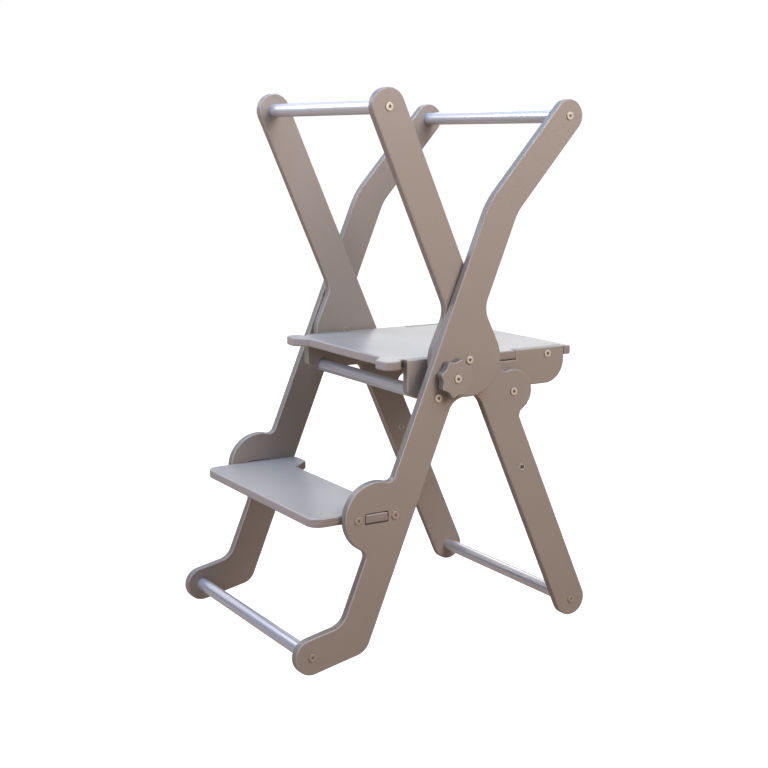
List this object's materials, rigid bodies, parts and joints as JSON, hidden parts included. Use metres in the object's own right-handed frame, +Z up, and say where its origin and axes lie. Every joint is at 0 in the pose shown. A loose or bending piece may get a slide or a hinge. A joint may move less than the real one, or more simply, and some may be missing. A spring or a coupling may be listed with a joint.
{
  "type": "learning tower",
  "caption": "Folding learning tower of painted boards: two hinged frames, a hooked standing platform, a step, cross dowels and clamping knobs.",
  "frame": {"origin": "on the floor, midway between the front and the rear feet and between the two sides", "axes": "+X to the object's right-hand side, -Y to the front with the step, +Z up"},
  "size_m": [0.4682, 0.5676, 0.8837],
  "materials": {
    "taupe_paint": "satin warm grey paint on plywood boards and round bars",
    "cream_cap": "cream lacquered steel heads with a hexagon socket",
    "zinc_steel": "zinc plated steel",
    "pale_nylon": "pale nylon washers and bushes"
  },
  "bodies": {
    "outer_frame": {"outer_panel_left": "taupe_paint", "outer_panel_right": "taupe_paint", "front_foot_dowel": "taupe_paint", "upper_rear_dowel": "taupe_paint", "platform_rest_dowel": "taupe_paint", "step_board": "taupe_paint", "front_foot_bolt_left": "cream_cap", "front_foot_bolt_right": "cream_cap", "upper_rear_bolt_left": "cream_cap", "upper_rear_bolt_right": "cream_cap", "rest_dowel_bolt_left": "cream_cap", "rest_dowel_bolt_right": "cream_cap", "step_front_screw_left": "cream_cap", "step_front_screw_right": "cream_cap", "step_rear_screw_left": "cream_cap", "step_rear_screw_right": "cream_cap", "frame_pivot_bolt_left": "cream_cap", "frame_pivot_bolt_right": "cream_cap", "frame_pivot_nut_left": "cream_cap", "frame_pivot_nut_right": "cream_cap", "frame_pivot_washer_left": "pale_nylon", "frame_pivot_washer_right": "pale_nylon", "lock_spacer_left": "pale_nylon", "lock_spacer_right": "pale_nylon", "lock_nut_left": "zinc_steel", "lock_nut_right": "zinc_steel"},
    "inner_frame": {"inner_panel_left": "taupe_paint", "inner_panel_right": "taupe_paint", "upper_front_dowel": "taupe_paint", "rear_foot_dowel": "taupe_paint", "upper_front_bolt_left": "cream_cap", "upper_front_bolt_right": "cream_cap", "rear_foot_bolt_left": "cream_cap", "rear_foot_bolt_right": "cream_cap", "leg_insert_left": "zinc_steel", "leg_insert_right": "zinc_steel"},
    "platform": {"platform_board": "taupe_paint", "platform_apron_left": "taupe_paint", "platform_apron_right": "taupe_paint", "platform_pivot_bolt_left": "cream_cap", "platform_pivot_bolt_right": "cream_cap", "platform_pivot_nut_left": "cream_cap", "platform_pivot_nut_right": "cream_cap", "platform_pivot_bush_left": "pale_nylon", "platform_pivot_bush_right": "pale_nylon", "apron_front_screw_left": "cream_cap", "apron_front_screw_right": "cream_cap", "apron_rear_screw_left": "cream_cap", "apron_rear_screw_right": "cream_cap"},
    "knob_thread_left": {"knob_washer_left": "pale_nylon"},
    "knob_thread_right": {"knob_washer_right": "pale_nylon"},
    "knob_left": {"lock_knob_left": "taupe_paint", "knob_bolt_left": "cream_cap"},
    "knob_right": {"lock_knob_right": "taupe_paint", "knob_bolt_right": "cream_cap"}
  },
  "joints": [
    {"name": "frame_fold", "type": "hinge", "parent": "outer_frame", "child": "inner_frame", "pos_m": [0, 0.0287, 0.4653], "axis": [-1, 0, 0], "range_deg": [0, 40]},
    {"name": "platform_lift", "type": "hinge", "parent": "inner_frame", "child": "platform", "pos_m": [0, 0.12754, 0.403], "axis": [-1, 0, 0], "range_deg": [0, 68]},
    {"name": "knob_travel_left", "type": "slide", "parent": "outer_frame", "child": "knob_thread_left", "axis": [-1, 0, 0], "range_m": [0, 0.0026]},
    {"name": "knob_turn_left", "type": "hinge", "parent": "knob_thread_left", "child": "knob_left", "pos_m": [-0.2245, -0.00436, 0.44011], "axis": [-1, 0, 0], "range_deg": [0, 720]},
    {"name": "knob_travel_right", "type": "slide", "parent": "outer_frame", "child": "knob_thread_right", "axis": [1, 0, 0], "range_m": [0, 0.0026]},
    {"name": "knob_turn_right", "type": "hinge", "parent": "knob_thread_right", "child": "knob_right", "pos_m": [0.2245, -0.00436, 0.44011], "axis": [1, 0, 0], "range_deg": [0, 720]}
  ],
  "couplings": [
    {"joint": "platform_lift", "follows": "frame_fold", "ratio": 1.7},
    {"joint": "knob_travel_left", "follows": "knob_turn_left", "m_per_rad": 0.00019894},
    {"joint": "knob_travel_right", "follows": "knob_turn_right", "m_per_rad": 0.00019894}
  ]
}
